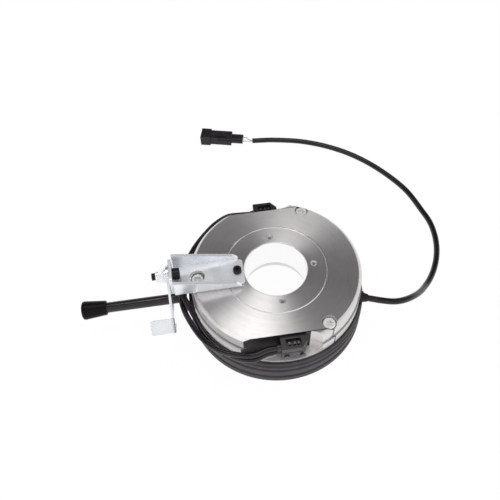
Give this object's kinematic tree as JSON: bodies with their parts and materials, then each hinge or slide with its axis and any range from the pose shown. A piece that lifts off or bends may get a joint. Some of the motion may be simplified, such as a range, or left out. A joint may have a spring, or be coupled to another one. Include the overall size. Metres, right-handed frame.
{
  "type": "motor brake",
  "caption": "Round spring-applied motor brake with a hand release lever, a swinging latch on a sheet bracket, side microswitches and a lead with a plug.",
  "frame": {"origin": "centre of the motor bolt circle on the bottom face, on the brake axis", "axes": "+Z along the brake axis from the motor face to the magnet body's top face; the release lever points along -X; the front microswitch faces -Y"},
  "size_m": [0.3385, 0.306, 0.0751],
  "materials": {
    "turned_steel": "turned face with circular lay",
    "copper_winding": "enamelled winding",
    "spring_steel": "drawn wire",
    "plate_steel": "ground",
    "adjuster_steel": "plated",
    "disc_metal": "machined",
    "friction_lining": "pressed lining",
    "flange_steel": "turned",
    "ring_rubber": "moulded",
    "screw_steel": "plated",
    "sleeve_steel": "plated",
    "zinc_sheet": "bright zinc plated",
    "black_bolt": "black oxide",
    "nut_insert": "moulded",
    "fork_steel": "black oxide",
    "pin_steel": "ground",
    "rod_black": "satin black",
    "grip_rubber": "moulded",
    "switch_case": "moulded",
    "plunger_red": "moulded",
    "terminal_metal": "tinned",
    "switch_screw": "plated",
    "lead_sheath": "extruded",
    "gland_plastic": "moulded",
    "inner_wire": "insulated wire",
    "plug_plastic": "moulded",
    "lock_plastic": "moulded",
    "seal_rubber": "moulded",
    "contact_metal": "tinned contact"
  },
  "bodies": {
    "brake": {"magnet_body": "turned_steel", "coil": "copper_winding", "pressure_springs": "spring_steel", "flange_plate": "flange_steel", "dust_ring": "ring_rubber", "mounting_screws": "screw_steel", "spacer_sleeves": "sleeve_steel", "lever_bracket": "zinc_sheet", "bracket_screw": "black_bolt", "latch_bolt": "black_bolt", "latch_washer": "zinc_sheet", "latch_nut": "zinc_sheet", "latch_nut_insert": "nut_insert", "fork_pins": "pin_steel", "front_switch_housing": "switch_case", "front_switch_terminals": "terminal_metal", "front_switch_screws": "switch_screw", "rear_switch_housing": "switch_case", "rear_switch_terminals": "terminal_metal", "rear_switch_screws": "switch_screw", "switch_link_lead": "lead_sheath", "switch_lead": "lead_sheath", "lead_gland": "gland_plastic", "main_lead": "lead_sheath", "plug_wires": "inner_wire", "plug_housing": "plug_plastic", "plug_lock": "lock_plastic", "plug_seals": "seal_rubber", "plug_contacts": "contact_metal"},
    "armature": {"armature_plate": "plate_steel", "switch_adjusters": "adjuster_steel"},
    "lever": {"release_fork": "fork_steel", "lever_rod": "rod_black", "lever_grip": "grip_rubber"},
    "latch": {"latch_plate": "zinc_sheet"},
    "rotor": {"friction_disc": "disc_metal", "friction_linings": "friction_lining"},
    "front_plunger": {"front_switch_plunger": "plunger_red"},
    "rear_plunger": {"rear_switch_plunger": "plunger_red"}
  },
  "joints": [
    {"name": "lever_release", "type": "hinge", "parent": "brake", "child": "lever", "pos_m": [-0.062, 0, 0.029], "axis": [0, 1, 0], "range_deg": [0, 7], "stiffness_Nm_per_rad": 2, "springref_deg": -2.86},
    {"name": "armature_lift", "type": "slide", "parent": "brake", "child": "armature", "axis": [0, 0, 1], "range_m": [0, 0.0004], "deforming": ["pressure_springs"]},
    {"name": "front_plunger_press", "type": "slide", "parent": "brake", "child": "front_plunger", "axis": [0, 0, 1], "range_m": [0, 0.0004]},
    {"name": "rear_plunger_press", "type": "slide", "parent": "brake", "child": "rear_plunger", "axis": [0, 0, 1], "range_m": [0, 0.0004]},
    {"name": "latch_swing", "type": "hinge", "parent": "brake", "child": "latch", "pos_m": [-0.0892, 0, 0.0666], "axis": [1, 0, 0], "range_deg": [-40, 50]},
    {"name": "rotor_spin", "type": "hinge", "parent": "brake", "child": "rotor", "pos_m": [0, 0, 0.0128], "axis": [0, 0, 1], "continuous": true}
  ],
  "couplings": [
    {"joint": "armature_lift", "follows": "lever_release", "m_per_rad": 0.003274},
    {"joint": "front_plunger_press", "follows": "lever_release", "m_per_rad": 0.003274},
    {"joint": "rear_plunger_press", "follows": "lever_release", "m_per_rad": 0.003274}
  ]
}
